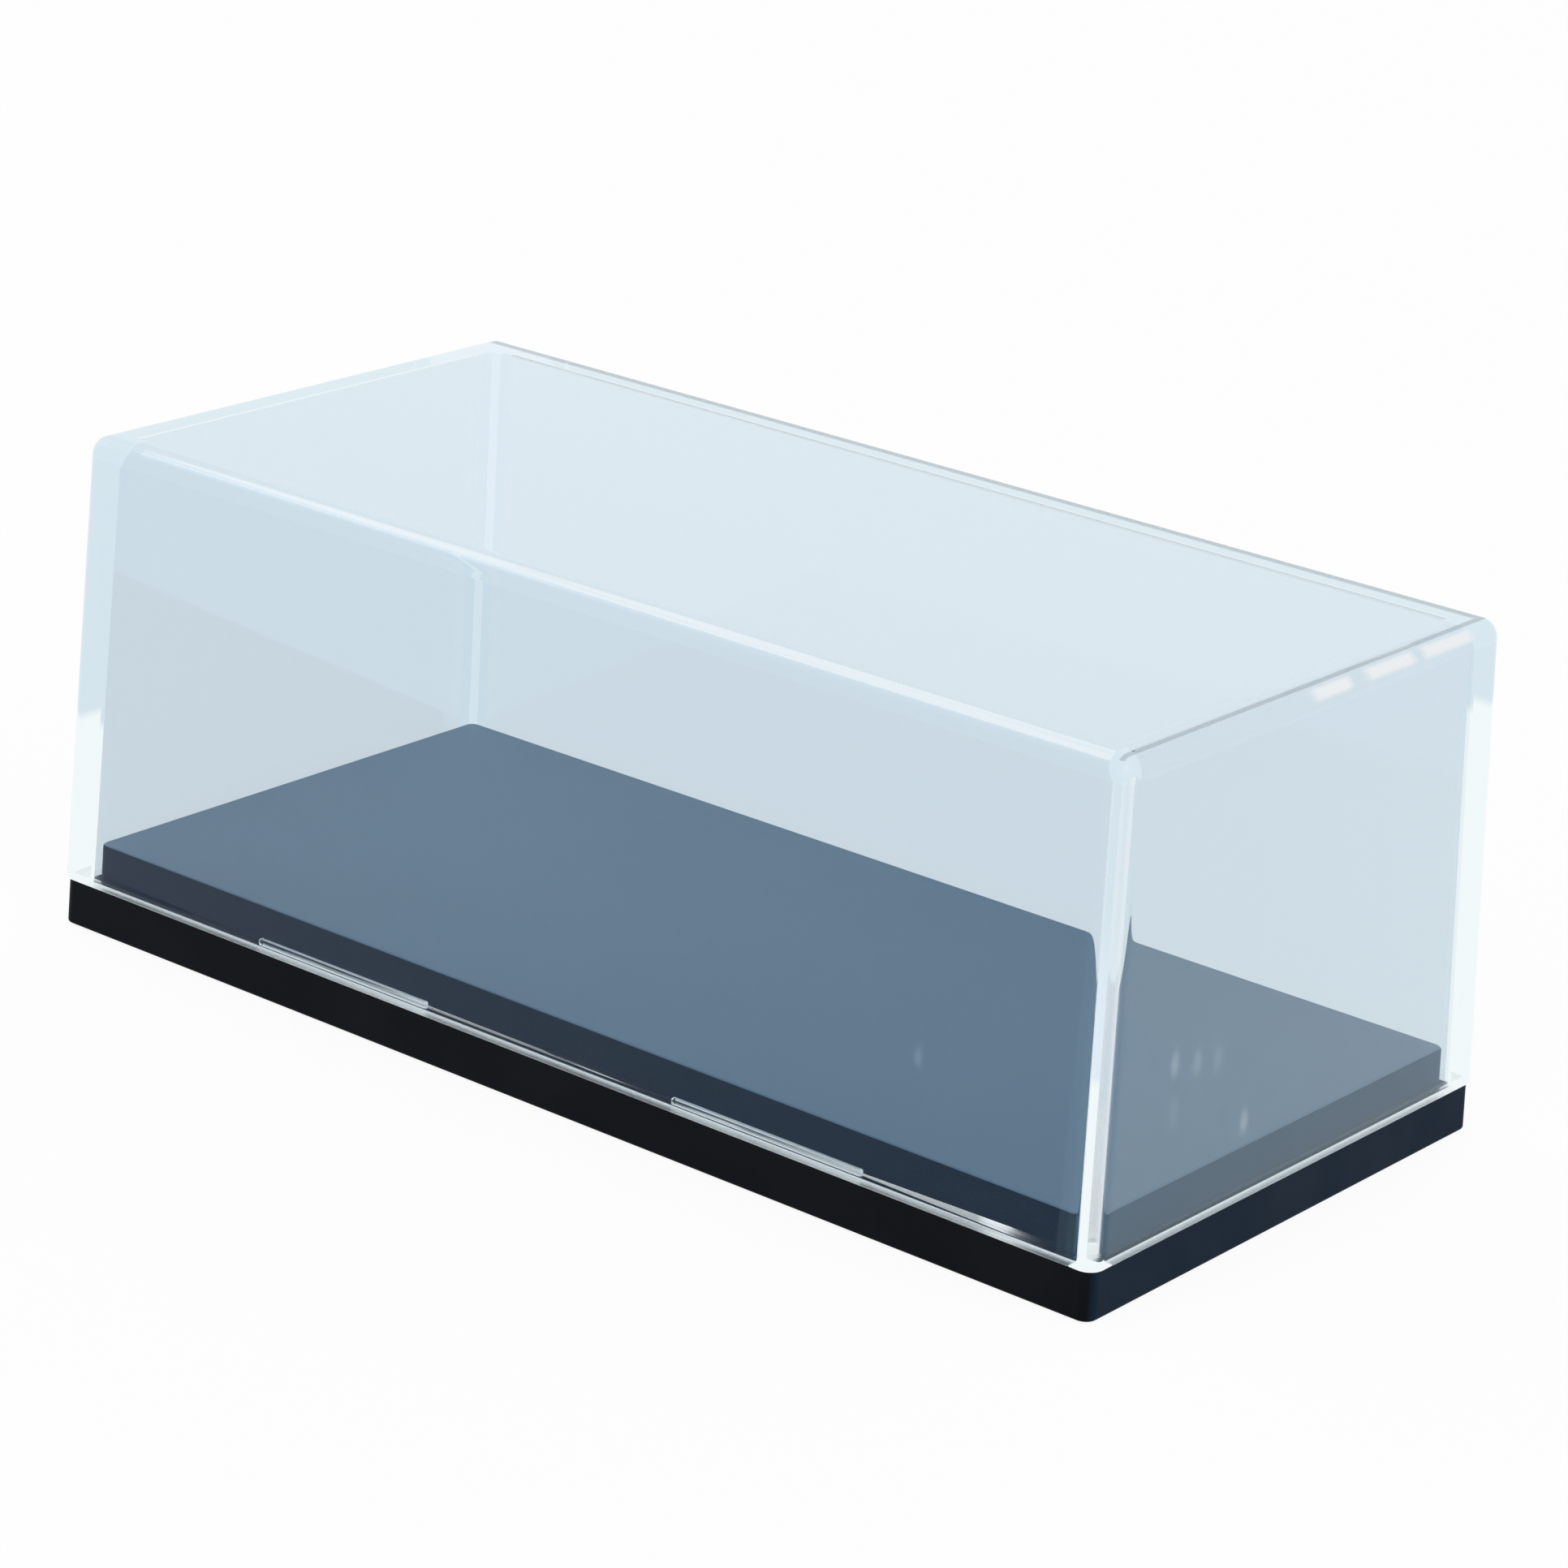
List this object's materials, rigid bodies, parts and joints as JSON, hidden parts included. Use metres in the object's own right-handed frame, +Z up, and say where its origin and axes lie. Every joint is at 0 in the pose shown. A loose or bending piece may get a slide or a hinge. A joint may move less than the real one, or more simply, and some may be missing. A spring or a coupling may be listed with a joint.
{
  "type": "model car display case",
  "caption": "Clear rectangular lift-off cover with draft, rounded edges and grip lugs, standing on a black stepped base with a raised platform for a small model car.",
  "frame": {"origin": "on the table, under the middle of the case", "axes": "+X along the case's length, +Y across it, +Z up"},
  "size_m": [0.1504, 0.0724, 0.0597],
  "materials": {
    "black_plastic": "satin, fine moulded grain",
    "clear_plastic": "clear, polished, faint cool tint"
  },
  "bodies": {
    "base": {"display_base": "black_plastic"},
    "cover": {"clear_cover": "clear_plastic"}
  },
  "joints": [
    {"name": "cover_lift", "type": "slide", "parent": "base", "child": "cover", "axis": [0, 0, 1], "range_m": [0, 0.07]}
  ]
}
